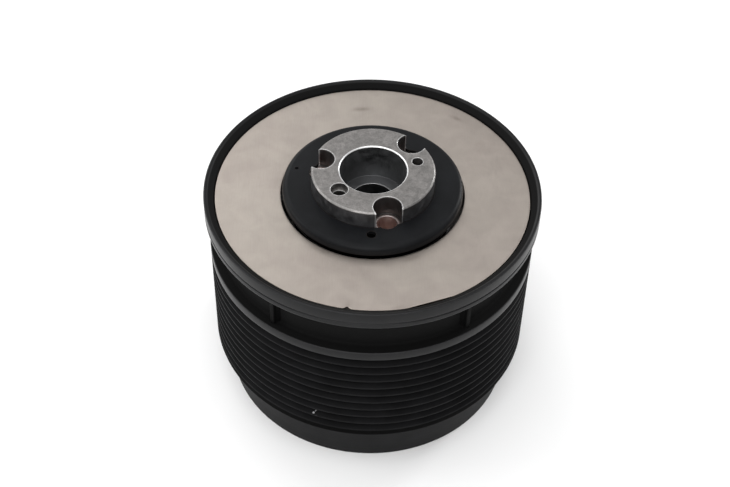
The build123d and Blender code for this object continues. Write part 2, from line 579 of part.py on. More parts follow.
def main():
    """Build every piece and write it to parts/, one STEP for each node."""
    main_rows = (MAIN_MID - MAIN_ROW, MAIN_MID + MAIN_ROW)
    main_inner, main_outer = bearing_rings(
        MAIN_BORE_R, MAIN_OUT_R, MAIN_LOW, MAIN_TOP, MAIN_BALL_R, main_rows)
    field_inner, field_outer = bearing_rings(
        FIELD_BORE_R, FIELD_OUT_R, FIELD_LOW, FIELD_TOP_FACE, FIELD_BALL_R, (FIELD_MID,))
    nodes = {
        "field_shell": field_shell(),
        "coil_bobbin": coil_bobbin(),
        "coil_winding": coil_winding(),
        "coil_potting": coil_potting(),
        "lead_grommet": lead_grommet(),
        "field_bearing_outer_ring": field_outer,
        "field_bearing_inner_ring": field_inner,
        "field_bearing_balls": balls(FIELD_PITCH_R, FIELD_BALL_R, (FIELD_MID,), FIELD_BALLS),
        "field_bearing_cage": cage(FIELD_PITCH_R, FIELD_BALL_R, FIELD_MID, FIELD_BALLS, -1),
        "field_bearing_shields": seals(FIELD_PITCH_R, FIELD_BALL_R, FIELD_LOW, FIELD_TOP_FACE, SHIELD_THICK),
        "field_bore_circlip": circlip(FIELD_OUT_R, FIELD_LOW - CLIP_THICK, True),
        "sleeve_end_circlip": circlip(FIELD_BORE_R, FIELD_LOW - CLIP_THICK, False),
        "hub": hub(),
        "cover_plate": cover_plate(),
        "spacer_sleeve": spacer_sleeve(),
        "hub_rivets": hub_rivets(),
        "leaf_springs": Compound(children=around(SPRING_COUNT, SPRING_FIRST, leaf_spring)),
        "armature_plate": armature_plate(),
        "armature_rivets": armature_rivets(),
        "main_bearing_inner_ring": main_inner,
        "main_bearing_outer_ring": main_outer,
        "main_bearing_balls": balls(MAIN_PITCH_R, MAIN_BALL_R, main_rows, MAIN_BALLS),
        "main_bearing_lower_cage": cage(MAIN_PITCH_R, MAIN_BALL_R, main_rows[0], MAIN_BALLS, -1),
        "main_bearing_upper_cage": cage(MAIN_PITCH_R, MAIN_BALL_R, main_rows[1], MAIN_BALLS, 1),
        "main_bearing_seals": seals(MAIN_PITCH_R, MAIN_BALL_R, MAIN_LOW, MAIN_TOP, SEAL_THICK),
        "sleeve_bearing_circlip": circlip(MAIN_BORE_R, MAIN_LOW - CLIP_THICK, False),
        "rotor_bore_circlip": circlip(MAIN_OUT_R, MAIN_LOW - CLIP_THICK, True),
        "pulley_shell": pulley_shell(),
        "rotor_disc": rotor_disc(),
        "friction_ring": friction_ring(),
    }
    os.makedirs("parts", exist_ok=True)
    for name, shape in nodes.items():
        export_step(shape, f"parts/{name}.step")
        print(name, round(shape.volume))
    print("total volume, cubic mm:", round(sum(shape.volume for shape in nodes.values())))


main()
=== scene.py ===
# %% [markdown]
# # An electromagnetic clutch with a ribbed belt pulley
#
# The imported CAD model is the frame: every piece already has its place and rides on a body that turns
# or slides.  This script adds what CAD leaves out: edges worn bright, turning marks, stains, the satin
# skin of a black coating.  It works in metres, with +Z up along the shaft.

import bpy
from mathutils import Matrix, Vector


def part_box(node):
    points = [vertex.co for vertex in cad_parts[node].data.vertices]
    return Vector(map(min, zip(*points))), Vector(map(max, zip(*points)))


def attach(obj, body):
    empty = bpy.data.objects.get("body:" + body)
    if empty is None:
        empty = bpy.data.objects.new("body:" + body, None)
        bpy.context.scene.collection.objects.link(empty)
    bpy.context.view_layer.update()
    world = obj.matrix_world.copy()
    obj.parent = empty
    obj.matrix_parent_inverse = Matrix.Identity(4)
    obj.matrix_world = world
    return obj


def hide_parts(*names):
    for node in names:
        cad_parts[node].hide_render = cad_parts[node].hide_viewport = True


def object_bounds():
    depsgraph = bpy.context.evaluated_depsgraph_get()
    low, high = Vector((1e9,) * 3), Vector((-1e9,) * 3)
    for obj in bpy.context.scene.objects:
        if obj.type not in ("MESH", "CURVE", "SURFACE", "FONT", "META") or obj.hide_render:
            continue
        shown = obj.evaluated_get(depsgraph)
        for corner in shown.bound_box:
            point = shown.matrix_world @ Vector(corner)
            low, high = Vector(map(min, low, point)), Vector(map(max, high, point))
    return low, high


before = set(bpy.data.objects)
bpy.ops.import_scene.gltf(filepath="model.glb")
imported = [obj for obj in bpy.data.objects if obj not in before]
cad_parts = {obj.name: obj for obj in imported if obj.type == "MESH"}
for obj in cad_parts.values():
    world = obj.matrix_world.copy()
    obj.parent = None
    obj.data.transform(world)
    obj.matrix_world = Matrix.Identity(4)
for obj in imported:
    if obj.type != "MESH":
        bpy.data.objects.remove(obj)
CAD_BOX = [list(corner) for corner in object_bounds()]

import bpy
import numpy as np
from mathutils import Matrix, Vector

MM = 0.001
box_in_mm = [[round(value / MM, 1) for value in corner] for corner in CAD_BOX]
print("pieces in the frame:", len(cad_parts), "box in mm:", box_in_mm)

# %% [markdown]
# ## The camera
#
# A small part is best seen from close by through a longish lens, so that circles stay round and the far
# side is only a little smaller than the near side.  The camera stands 0.48 m away and looks down at
# 46 degrees.  It is placed by where it stands, the point it looks at, and a small roll of the hand
# that holds it.

# %% Camera
SENSOR_MM, LENS_MM = 36.0, 69.97
CAMERA_AT = Vector((0.0, -323.78, 388.69)) * MM
CAMERA_AIM = Vector((-2.08, 8.470, 42.4)) * MM
CAMERA_ROLL = np.radians(1.387)

camera_data = bpy.data.cameras.new("camera")
camera_data.lens = LENS_MM
camera_data.sensor_width = SENSOR_MM
camera_data.clip_start = 0.01
camera = bpy.data.objects.new("camera", camera_data)
bpy.context.scene.collection.objects.link(camera)
look = (CAMERA_AIM - CAMERA_AT).to_track_quat("-Z", "Y").to_matrix().to_4x4()
camera.matrix_world = Matrix.Translation(CAMERA_AT) @ look @ Matrix.Rotation(CAMERA_ROLL, 4, "Z")
bpy.context.scene.camera = camera
print("camera distance in mm:", round((CAMERA_AIM - CAMERA_AT).length / MM))

# %% [markdown]
# ## Light and floor
#
# The object stands on white paper in a light tent: large soft lights above and at the sides, and a
# floor nearly as bright as the walls.  Dark gloss surfaces show only what they mirror, so the size
# and place of the lights decide how the black pieces look.

# %% Light and floor helpers
def linear(hex_colour):
    """Linear RGBA of an sRGB hex colour: each channel is undone with the sRGB curve."""
    srgb = np.array([int(hex_colour[k:k + 2], 16) for k in (0, 2, 4)]) / 255
    low, high = srgb / 12.92, ((srgb + 0.055) / 1.055) ** 2.4
    return (*np.where(srgb <= 0.04045, low, high).tolist(), 1.0)


def add_area_light(name, place, aim, size, watts):
    """A square soft light that stands at place and shines towards aim, both in millimetres."""
    data = bpy.data.lights.new(name, "AREA")
    data.shape = "RECTANGLE"
    data.size, data.size_y = size[0] * MM, size[1] * MM
    data.energy = watts
    lamp = bpy.data.objects.new(name, data)
    bpy.context.scene.collection.objects.link(lamp)
    place, aim = Vector(place) * MM, Vector(aim) * MM
    facing = (aim - place).to_track_quat("-Z", "Y").to_matrix().to_4x4()
    lamp.matrix_world = Matrix.Translation(place) @ facing


# %% Lights
MIDDLE = (0, 0, 50)
add_area_light("overhead_softbox", (-100, 0, 900), MIDDLE, (900, 900), 2.3)
add_area_light("front_softbox", (-100, -850, 800), MIDDLE, (900, 900), 6.0)
add_area_light("back_left_softbox", (-320, 560, 450), MIDDLE, (400, 350), 0.9)
add_area_light("left_softbox", (-900, 100, 420), MIDDLE, (500, 500), 2.0)
add_area_light("right_back_strip", (620, 520, 330), MIDDLE, (120, 420), 2.4)
world = bpy.data.worlds.new("studio")
bpy.context.scene.world = world
world.use_nodes = True
bpy.context.scene.view_settings.view_transform = "Standard"

# %% [markdown]
# ## Materials
#
# A material is a small graph of nodes.  One helper adds a node with its settings and links, and every
# material below is written with it.  Patterns read Object coordinates, which are metres on the piece
# itself, so a texture scale of 1000 / s has features about s millimetres wide.

# %% The node helper
def node(tree, kind, settings=None, **links):
    """Adds a node, sets its properties, and gives each named socket a number or another node's output."""
    made = tree.nodes.new(kind)
    for key, value in (settings or {}).items():
        setattr(made, key, value)
    for key, value in links.items():
        by_number = key[0] == "i" and key[1:].isdigit()
        socket = made.inputs[int(key[1:])] if by_number else made.inputs[key.replace("_", " ")]
        if isinstance(value, bpy.types.NodeSocket):
            tree.links.new(value, socket)
        else:
            socket.default_value = value
    return made


def per_mm(feature_mm):
    """The texture scale that makes features of that many millimetres on metre coordinates."""
    return 1 / (feature_mm * MM)


def new_material(name):
    """An empty material: its tree, its shader, and the Object coordinates it will read."""
    material = bpy.data.materials.new(name)
    material.use_nodes = True
    tree = material.node_tree
    return material, tree, tree.nodes["Principled BSDF"], node(tree, "ShaderNodeTexCoord").outputs["Object"]


print("an sRGB mid grey is", round(linear("808080")[0], 3), "in linear light")

# %% [markdown]
# The walls of the light tent are a little brighter on the left than on the right, which gives the
# flat steel ring its slow change of tone.

# %% Light tent
TENT_MEAN, TENT_SWING = 0.70, 0.14
tree = world.node_tree
side = node(tree, "ShaderNodeSeparateXYZ", Vector=node(tree, "ShaderNodeTexCoord").outputs["Generated"])
strength = node(tree, "ShaderNodeMapRange", Value=side.outputs["X"], From_Min=-1.0, From_Max=1.0,
                To_Min=TENT_MEAN + TENT_SWING, To_Max=TENT_MEAN - TENT_SWING)
background = tree.nodes["Background"]
background.inputs["Color"].default_value = linear("ffffff")
tree.links.new(strength.outputs[0], background.inputs["Strength"])

# %% Plain floor
floor_material, tree, shader, place = new_material("white_paper")
shader.inputs["Base Color"].default_value = linear("f6f6f6")
shader.inputs["Roughness"].default_value = 0.9
shader.inputs["Specular IOR Level"].default_value = 0.0
FLOOR_HALF = 4.0
floor_mesh = bpy.data.meshes.new("floor")
corners = FLOOR_HALF * np.array([[-1, -1, 0], [1, -1, 0], [1, 1, 0], [-1, 1, 0]])
floor_mesh.from_pydata(corners.tolist(), [], [(0, 1, 2, 3)])
floor_mesh.materials.append(floor_material)
floor = bpy.data.objects.new("floor", floor_mesh)
bpy.context.scene.collection.objects.link(floor)
print("floor:", 2 * FLOOR_HALF, "m square")

# %% [markdown]
# ## Turned shapes
#
# Nearly every piece of a clutch is turned on a lathe, so its surface is a profile carried round the
# axis.  A real cutting edge never leaves a perfectly sharp corner: each corner of a profile is rounded
# first, because the thin bright line along an edge is what makes metal look like metal.

# %% Profiles and lathe
def rounded(points, radius, steps=4):
    """Rounds the corners of a closed profile of (radius, height) rows.

    Each corner P gives way to the parabola (1-s)^2 A + 2 s (1-s) P + s^2 B, with A and B on its two
    sides at the asked radius from P, but never past 0.45 of the side.
    """
    here = np.asarray(points, float)
    before, after = np.roll(here, 1, 0) - here, np.roll(here, -1, 0) - here
    reach = np.broadcast_to(np.asarray(radius, float), len(here))
    ends = []
    for way in (before, after):
        length = np.linalg.norm(way, axis=1)
        ends.append(here + way * (np.minimum(reach, 0.45 * length) / length)[:, None])
    s = np.linspace(0, 1, steps)[None, :, None]
    corner = (1 - s) ** 2 * ends[0][:, None] + 2 * s * (1 - s) * here[:, None] + s ** 2 * ends[1][:, None]
    return corner.reshape(-1, 2)


def grid_mesh(name, xyz, close_u=True, close_v=True):
    """A mesh of quads from a grid of points in millimetres, shape (u, v, 3), joined up where it closes."""
    n_u, n_v = xyz.shape[:2]
    rows, columns = n_u if close_u else n_u - 1, n_v if close_v else n_v - 1
    u, v = np.meshgrid(np.arange(rows), np.arange(columns), indexing="ij")
    u1, v1 = (u + 1) % n_u, (v + 1) % n_v
    quads = np.stack([u * n_v + v, u1 * n_v + v, u1 * n_v + v1, u * n_v + v1], -1).reshape(-1, 4)
    mesh = bpy.data.meshes.new(name)
    mesh.vertices.add(n_u * n_v)
    mesh.vertices.foreach_set("co", (xyz.reshape(-1, 3) * MM).astype(np.float32).ravel())
    mesh.loops.add(quads.size)
    mesh.loops.foreach_set("vertex_index", quads.astype(np.int32).ravel())
    mesh.polygons.add(len(quads))
    mesh.polygons.foreach_set("loop_start", np.arange(0, quads.size, 4, dtype=np.int32))
    mesh.update(calc_edges=True)
    mesh.validate()
    mesh.shade_smooth()
    piece = bpy.data.objects.new(name, mesh)
    bpy.context.scene.collection.objects.link(piece)
    return piece


def lathe(profile, turns, bend=None):
    """Points of a profile carried round Z: (r cos a, r sin a, z), after bend(r, a, z) has moved r and z."""
    angle = np.linspace(0, 2 * np.pi, turns, endpoint=False)[:, None]
    r, z = profile[None, :, 0] + 0 * angle, profile[None, :, 1] + 0 * angle
    if bend:
        r, z = bend(r, angle, z)
    return np.stack([r * np.cos(angle), r * np.sin(angle), z], -1)


def mount(piece, body, material, slot, *nodes):
    """Gives a finished piece its material and the body it rides on, and hides the CAD nodes it stands for;
    slot is not used.
    """
    piece.data.materials.append(material)
    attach(piece, body)
    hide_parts(*nodes)
    print(piece.name, "has", len(piece.data.polygons), "faces")

# %% [markdown]
# ## Black electrocoat
#
# The pulley, its guard rim and the coil's band are dipped in a thin black electrocoat.  It is too thin
# to hide the turning marks under it, and it rubs to grey on outer corners.  So the colour is nearly
# black, the gloss is a soft satin, and fine rings show as a slight unevenness of the gloss.
#
# Worn corners are found by looking inwards: close to an outer corner the inside of the metal ends
# after a fraction of a millimetre, and the ambient occlusion node measures that.

# %% Coat
CLOUD_MM, RING_MM, RING_RELIEF_MM, WEAR_MM, SHADE_FADE = 9.0, 0.35, 0.02, 0.35, 0.3
DUST_MM, DUST_COLOUR = (6.0, 0.5), "4c4c4b"
FLAKE_MM, FLAKE_SHARE, FLAKE_COLOUR = (0.9, 0.9), 0.3, "9a9a9c"
# Painted shade: where the rim or the pulley's lower edge shades the coat, it gets this near-black colour and
# a dead matt roughness.
SHADE_COLOUR, SHADE_ROUGH = "030303", 0.85


def worn_corner(tree, reach_mm, amount):
    """0 to 1 towards outer corners: one minus inside occlusion, stretched so that flats give zero."""
    inside = node(tree, "ShaderNodeAmbientOcclusion", {"inside": True, "only_local": True, "samples": 8},
                  Distance=reach_mm * MM)
    return node(tree, "ShaderNodeMapRange", Value=inside.outputs["AO"], From_Min=0.92, From_Max=0.35,
                To_Min=0.0, To_Max=amount).outputs[0]


def zone(tree, value, low, high):
    """A smooth step from 0 at low to 1 at high of any number."""
    return node(tree, "ShaderNodeMapRange", {"interpolation_type": "SMOOTHSTEP"}, Value=value,
                From_Min=low, From_Max=high).outputs[0]


def from_axis(tree, place):
    """The distance from the Z axis, and the height."""
    flat = node(tree, "ShaderNodeMapping", Vector=place, Scale=(1.0, 1.0, 0.0))
    radius = node(tree, "ShaderNodeVectorMath", {"operation": "LENGTH"}, Vector=flat.outputs[0])
    return radius.outputs["Value"], node(tree, "ShaderNodeSeparateXYZ", Vector=place).outputs["Z"]


def turning_rings(tree, place, spacing_mm):
    """Uneven rings about Z: noise of one number, the distance from the axis plus the height."""
    radius, height = from_axis(tree, place)
    along = node(tree, "ShaderNodeMath", {"operation": "ADD"}, i0=radius, i1=height)
    rings = node(tree, "ShaderNodeTexNoise", {"noise_dimensions": "1D"}, W=along.outputs[0],
                 Scale=per_mm(spacing_mm), Detail=2.0, Roughness=0.6)
    return rings.outputs["Fac"]


def dust_specks(tree, place, spacing_mm, size_mm, share):
    """Pale specks: the middles of a share of random cells, spacing_mm apart."""
    cells = node(tree, "ShaderNodeTexVoronoi", Vector=place, Scale=per_mm(spacing_mm), Randomness=1.0)
    close = node(tree, "ShaderNodeMath", {"operation": "LESS_THAN"}, i0=cells.outputs["Distance"],
                 i1=0.5 * size_mm / spacing_mm)
    pick = node(tree, "ShaderNodeSeparateColor", Color=cells.outputs["Color"])
    chosen = node(tree, "ShaderNodeMath", {"operation": "LESS_THAN"}, i0=pick.outputs["Red"], i1=share)
    both = node(tree, "ShaderNodeMath", {"operation": "MULTIPLY"}, i0=close.outputs[0], i1=chosen.outputs[0])
    return both.outputs[0]


def layered(tree, colour, layers):
    """Lays each colour of (mask, hex colour) rows over what is below it, where its mask is 1."""
    for mask, tone in layers:
        laid = node(tree, "ShaderNodeMix", {"data_type": "RGBA"}, i0=mask, i6=colour, i7=linear(tone))
        colour = laid.outputs[2]
    return colour


def black_coat(name, colour, wear_and_highlight, rough, wear, gloss, dust, shade_zone=None, chipped=()):
    """Thin black coat over turned metal, with worn corners, turning rings and a little dust.

    The shade zone gives a radius and two heights: inside that radius, and from the first height to the
    second, the coat is painted near black and made dead matt as painted shade.  Chipped gives places
    (azimuth, height, reach in mm) on the grooves' outside where small flakes of the coat have come off.
    """
    material, tree, shader, place = new_material(name)
    cloud = node(tree, "ShaderNodeTexNoise", Vector=place, Scale=per_mm(CLOUD_MM), Detail=4.0, Roughness=0.6)
    patches = node(tree, "ShaderNodeMapRange", Value=cloud.outputs["Fac"], From_Min=0.3, From_Max=0.7,
                   To_Min=0.75, To_Max=1.35)
    skin = node(tree, "ShaderNodeMix", {"data_type": "RGBA", "blend_type": "MULTIPLY"}, i0=1.0,
                i6=linear(colour), i7=patches.outputs[0]).outputs[2]
    rings = turning_rings(tree, place, RING_MM)
    satin = node(tree, "ShaderNodeMapRange", Value=rings, From_Min=0.25, From_Max=0.75,
                 To_Min=rough - 0.06, To_Max=rough + 0.08)
    matt = satin.outputs[0]
    layers = [
        (worn_corner(tree, WEAR_MM, wear), wear_and_highlight),
        (dust_specks(tree, place, *DUST_MM, dust), DUST_COLOUR),
    ]
    for azimuth, level, reach in chipped:
        turn = np.radians(azimuth)
        spot = (PULLEY_R * np.cos(turn) * MM, PULLEY_R * np.sin(turn) * MM, level * MM)
        away = node(tree, "ShaderNodeVectorMath", {"operation": "DISTANCE"}, i0=place, i1=spot)
        near = zone(tree, away.outputs["Value"], reach * MM, 0.7 * reach * MM)
        flakes = dust_specks(tree, place, *FLAKE_MM, FLAKE_SHARE)
        bare = node(tree, "ShaderNodeMath", {"operation": "MULTIPLY"}, i0=near, i1=flakes)
        layers.append((bare.outputs[0], FLAKE_COLOUR))
    # Painted shade: inside the radius and between the two heights, the colour goes near black and the
    # roughness dead matt.
    if shade_zone:
        radius, height = from_axis(tree, place)
        inner = zone(tree, radius, (shade_zone[0] + SHADE_FADE) * MM, shade_zone[0] * MM)
        reached = zone(tree, height, shade_zone[1] * MM, shade_zone[2] * MM)
        painted_shade = node(tree, "ShaderNodeMath", {"operation": "MULTIPLY"}, i0=inner, i1=reached).outputs[0]
        layers.append((painted_shade, SHADE_COLOUR))
        matt = node(tree, "ShaderNodeMix", {"data_type": "FLOAT"}, i0=painted_shade, i2=matt, i3=SHADE_ROUGH).outputs[0]
    skin = layered(tree, skin, layers)
    tree.links.new(skin, shader.inputs["Base Color"])
    tree.links.new(matt, shader.inputs["Roughness"])
    bump = node(tree, "ShaderNodeBump", Height=rings, Strength=0.25, Distance=RING_RELIEF_MM * MM)
    tree.links.new(bump.outputs[0], shader.inputs["Normal"])
    shader.inputs["Specular IOR Level"].default_value = gloss
    return material


PULLEY_R, PULLEY_LOW = 52.4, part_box("pulley_shell")[0].z / MM
GROOVES, PITCH, DEPTH, MOUTH, BOTTOM_LAND, TOP_LAND = 10, 3.56, 2.7, 1.43, 2.9, 3.2
RIBS_TOP = PULLEY_LOW + BOTTOM_LAND + (GROOVES - 1) * PITCH + 2 * MOUTH
LAND_TOP = RIBS_TOP + TOP_LAND
# Painted shade in the neck: inside 52 mm radius and above the top land, the neck and the rim's inner faces
# are painted near black.
NECK_SHADE = (PULLEY_R - 0.4, LAND_TOP - 0.25, LAND_TOP - 0.05)
# Painted shade at the bottom: the ribbed coat goes near black and matt over the lowest 2 mm of the pulley,
# below the grooves.
LOW_LAND_SHADE = (PULLEY_R + 1.0, PULLEY_LOW + 2.5, PULLEY_LOW + 2.0)
CHIPS = ((-108.9, 25.1, 2.2), (-107.0, 26.4, 1.3), (-41.0, 32.0, 1.0))
pulley_coat = black_coat("black_electrocoat", "101011", "737375", 0.33, 0.9, 0.17, 0.0, NECK_SHADE)
rib_coat = black_coat("black_electrocoat_on_ribs", "121213", "232324", 0.50, 0.3, 0.05, 0.04, LOW_LAND_SHADE,
                      CHIPS)
# Painted shade: the webs stand in the shaded neck, so their coat is a darker, matter copy of the black
# electrocoat.
web_coat_painted_shade = black_coat("black_electrocoat_painted_shade_on_webs", "090909", "222224", 0.60, 0.4, 0.06, 0.0)
band_coat = black_coat("grey_black_electrocoat", "121213", "363637", 0.50, 0.4, 0.14, 0.02)
cover_coat = black_coat("black_satin_coat", "101113", "40342b", 0.42, 0.3, 0.11, 0.0)
print("coats:", pulley_coat.name, band_coat.name, cover_coat.name)

# %% [markdown]
# ## Ground steel
#
# The armature ring is low-carbon steel, ground flat.  Fine grinding scratches blur what it mirrors, so
# it reads as an even warm grey.  Handling leaves faint smudges and a little brown stain, strongest by
# the inner edge.  Those that sit in known places come from an attribute on the mesh, written below; the
# same attribute lays the stain colour over the balancing flat's sunken shelf as painted shade.

# %% Ground steel
def smudges(tree, place, size_mm, low, high):
    """Soft cloudy variation between low and high."""
    cloud = node(tree, "ShaderNodeTexNoise", Vector=place, Scale=per_mm(size_mm), Detail=5.0, Roughness=0.55,
                 Distortion=0.4)
    return node(tree, "ShaderNodeMapRange", Value=cloud.outputs["Fac"], From_Min=0.35, From_Max=0.65,
                To_Min=low, To_Max=high).outputs[0]


STEEL_TONES, STAIN_AND_SHADE_COLOUR = ("a89f98", "aea69e"), "4f4239"
ground_steel, tree, shader, place = new_material("ground_low_carbon_steel")
tone = node(tree, "ShaderNodeMix", {"data_type": "RGBA"}, i0=smudges(tree, place, 26.0, 0.0, 1.0),
            i6=linear(STEEL_TONES[0]), i7=linear(STEEL_TONES[1]))
marked = node(tree, "ShaderNodeAttribute", {"attribute_name": "stain_and_shade"})
stain_and_shade_amount = node(tree, "ShaderNodeMath", {"operation": "MULTIPLY"}, i0=smudges(tree, place, 5.0, 0.35, 1.0),
             i1=marked.outputs["Fac"])
stained_and_shaded = layered(tree, tone.outputs[2], [(stain_and_shade_amount.outputs[0], STAIN_AND_SHADE_COLOUR)])
faint = node(tree, "ShaderNodeMix", {"data_type": "RGBA", "blend_type": "MULTIPLY"}, i0=1.0, i6=stained_and_shaded,
             i7=smudges(tree, place, 7.0, 0.94, 1.04))
tree.links.new(faint.outputs[2], shader.inputs["Base Color"])
shader.inputs["Metallic"].default_value = 1.0
SCRATCH_MM = (0.25, 6.0)
scratch_place = node(tree, "ShaderNodeMapping", Vector=place, Rotation=(0, 0, 0.5),
                     Scale=(per_mm(SCRATCH_MM[0]), per_mm(SCRATCH_MM[1]), 0.0))
scratches = node(tree, "ShaderNodeTexNoise", Vector=scratch_place.outputs[0], Scale=1.0, Detail=3.0)
matt = node(tree, "ShaderNodeMapRange", Value=scratches.outputs["Fac"], From_Min=0.3, From_Max=0.7,
            To_Min=0.38, To_Max=0.52)
tree.links.new(matt.outputs[0], shader.inputs["Roughness"])
bump = node(tree, "ShaderNodeBump", Height=scratches.outputs["Fac"], Strength=0.15, Distance=0.01 * MM)
tree.links.new(bump.outputs[0], shader.inputs["Normal"])
print("steel:", ground_steel.name)

# %% [markdown]
# ## Turned steel of the hub
#
# The hub is bare, turned and handled.  Its top is a paler grey with tool rings and knocks; its corners
# and hole edges are bright where the coating and oxide wore off, and the chamfer at the bore's mouth
# carries a near-white painted highlight; the bore is dark with old oil.  The boss's side wall is painted
# a darker grey than its top, and the notch walls and the flange under the cover are darkened as painted
# shade.  The three tapped holes keep fresh, slightly pink metal.

# %% Turned steel
HUB_TOP, FLANGE_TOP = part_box("hub")[1].z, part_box("cover_plate")[1].z - 1.2 * MM
PILOT_R, BOSS_R, BOLT_CIRCLE_R = 10.6 * MM, 19.5 * MM, 17.2 * MM
TAPPED_R, NOTCH_R, FIRST_BOLT = 3.3 * MM, 4.5 * MM, -74.0
HUB_TONES, OILED, DARKER_SIDE_WALL, PAINTED_SHADE_UNDER_COVER = ("7b7977", "918e8c"), "767778", "6c6c6e", "0a0a0a"
PAINTED_SHADE_IN_NOTCH, FRESH_METAL, WEAR_AND_HIGHLIGHT = "575453", "d8c4be", "f2f2f2"

turned_steel, tree, shader, place = new_material("turned_bare_steel")
radius, height = from_axis(tree, place)
mottled = node(tree, "ShaderNodeMix", {"data_type": "RGBA"}, i0=smudges(tree, place, 2.2, 0.0, 1.0),
               i6=linear(HUB_TONES[0]), i7=linear(HUB_TONES[1]))
fine = node(tree, "ShaderNodeMix", {"data_type": "RGBA", "blend_type": "MULTIPLY"}, i0=1.0,
            i6=mottled.outputs[2], i7=smudges(tree, place, 0.45, 0.84, 1.10))
inside_bore = node(tree, "ShaderNodeMath", {"operation": "LESS_THAN"}, i0=radius, i1=PILOT_R + 0.05 * MM)


def near_bolts(low, high):
    """A zone round each tapped hole's axis, from 0 at the distance low to 1 at high; the largest counts."""
    flat = node(tree, "ShaderNodeMapping", Vector=place, Scale=(1.0, 1.0, 0.0))
    angles = np.radians(FIRST_BOLT + 120.0 * np.arange(3))
    most = 0.0
    for x, y in BOLT_CIRCLE_R * np.stack([np.cos(angles), np.sin(angles)], -1):
        away = node(tree, "ShaderNodeVectorMath", {"operation": "DISTANCE"}, i0=flat.outputs[0],
                    i1=(x, y, 0.0))
        close = zone(tree, away.outputs["Value"], low, high)
        most = node(tree, "ShaderNodeMath", {"operation": "MAXIMUM"}, i0=most, i1=close).outputs[0]
    return most


def below_top(low_mm, high_mm):
    """A zone of height, from 0 at the first depth under the hub's top to 1 at the second."""
    return zone(tree, height, HUB_TOP - low_mm * MM, HUB_TOP - high_mm * MM)


# Each row: two masks, and the colour laid where they overlap, a finish or painted shade.
patches = [  # two masks that a finish lies in the overlap of, and its colour
    (inside_bore.outputs[0], below_top(0.3, 1.2), OILED),
    # The boss's side wall below the top is painted a darker grey than the top.
    (zone(tree, radius, BOSS_R - 0.25 * MM, BOSS_R - 0.05 * MM), below_top(0.3, 0.9), DARKER_SIDE_WALL),
    # Painted shade: the flange under the cover, seen through its ports and gaps, is painted near black.
    (zone(tree, radius, BOSS_R + 1.2 * MM, BOSS_R + 1.4 * MM),
     zone(tree, height, FLANGE_TOP + 0.2 * MM, FLANGE_TOP + 0.1 * MM), PAINTED_SHADE_UNDER_COVER),
    # Painted shade: the notch walls below the top are painted a darker grey.
    (near_bolts(NOTCH_R + 0.3 * MM, NOTCH_R + 0.1 * MM), below_top(0.3, 0.8), PAINTED_SHADE_IN_NOTCH),
    (near_bolts(TAPPED_R + 0.9 * MM, TAPPED_R + 0.1 * MM), below_top(5.0, 7.5), FRESH_METAL),
]
layers = []
for across, down, finish_or_shade in patches:
    overlap = node(tree, "ShaderNodeMath", {"operation": "MULTIPLY"}, i0=across, i1=down)
    layers.append((overlap.outputs[0], finish_or_shade))
# Painted highlight: the top 0.3 mm of the bore's mouth chamfer is laid in near-white.
mouth_highlight = node(tree, "ShaderNodeMath", {"operation": "MULTIPLY"}, i1=below_top(0.4, 0.3),
             i0=zone(tree, radius, PILOT_R + 0.4 * MM, PILOT_R + 0.3 * MM))
# Worn outer corners and the painted mouth highlight share one near-white layer.
wear_and_highlight = node(tree, "ShaderNodeMath", {"operation": "MAXIMUM"}, i0=worn_corner(tree, 0.45, 0.9),
              i1=mouth_highlight.outputs[0])
layers.append((wear_and_highlight.outputs[0], WEAR_AND_HIGHLIGHT))
tree.links.new(layered(tree, fine.outputs[2], layers), shader.inputs["Base Color"])
shader.inputs["Metallic"].default_value = 1.0
sheen = node(tree, "ShaderNodeMapRange", Value=smudges(tree, place, 2.0, 0.0, 1.0), To_Min=0.36, To_Max=0.56)
tree.links.new(sheen.outputs[0], shader.inputs["Roughness"])
knocks = node(tree, "ShaderNodeTexNoise", Vector=place, Scale=per_mm(0.6), Detail=3.0)
relief = node(tree, "ShaderNodeMath", {"operation": "ADD"}, i0=turning_rings(tree, place, 0.3),
              i1=knocks.outputs["Fac"])
soft = node(tree, "ShaderNodeBevel", {"samples": 4}, Radius=0.3 * MM)
bump = node(tree, "ShaderNodeBump", Height=relief.outputs[0], Strength=0.5, Distance=0.025 * MM,
            Normal=soft.outputs[0])
tree.links.new(bump.outputs[0], shader.inputs["Normal"])
print("hub top at", round(HUB_TOP / MM, 2), "mm")

# %% [markdown]
# ## The hidden and half-hidden finishes
#
# Bearings, clips, springs and the coil are mostly out of sight, but they show from below.  Each has
# the colour and gloss of its real material and a fine grain of its own.

# %% Small finishes
def grained(name, colours, metallic, roughs, grain_mm, relief_mm):
    """One material whose colour and roughness wander between two values, with grain of a real size."""
    material, tree, shader, place = new_material(name)
    grain = node(tree, "ShaderNodeTexNoise", Vector=place, Scale=per_mm(grain_mm), Detail=3.0).outputs["Fac"]
    colour = node(tree, "ShaderNodeMix", {"data_type": "RGBA"}, i0=grain, i6=linear(colours[0]),
                  i7=linear(colours[1]))
    rough = node(tree, "ShaderNodeMapRange", Value=grain, To_Min=roughs[0], To_Max=roughs[1])
    bump = node(tree, "ShaderNodeBump", Height=grain, Strength=0.4, Distance=relief_mm * MM)
    tree.links.new(colour.outputs[2], shader.inputs["Base Color"])
    tree.links.new(rough.outputs[0], shader.inputs["Roughness"])
    tree.links.new(bump.outputs[0], shader.inputs["Normal"])
    shader.inputs["Metallic"].default_value = metallic
    return material


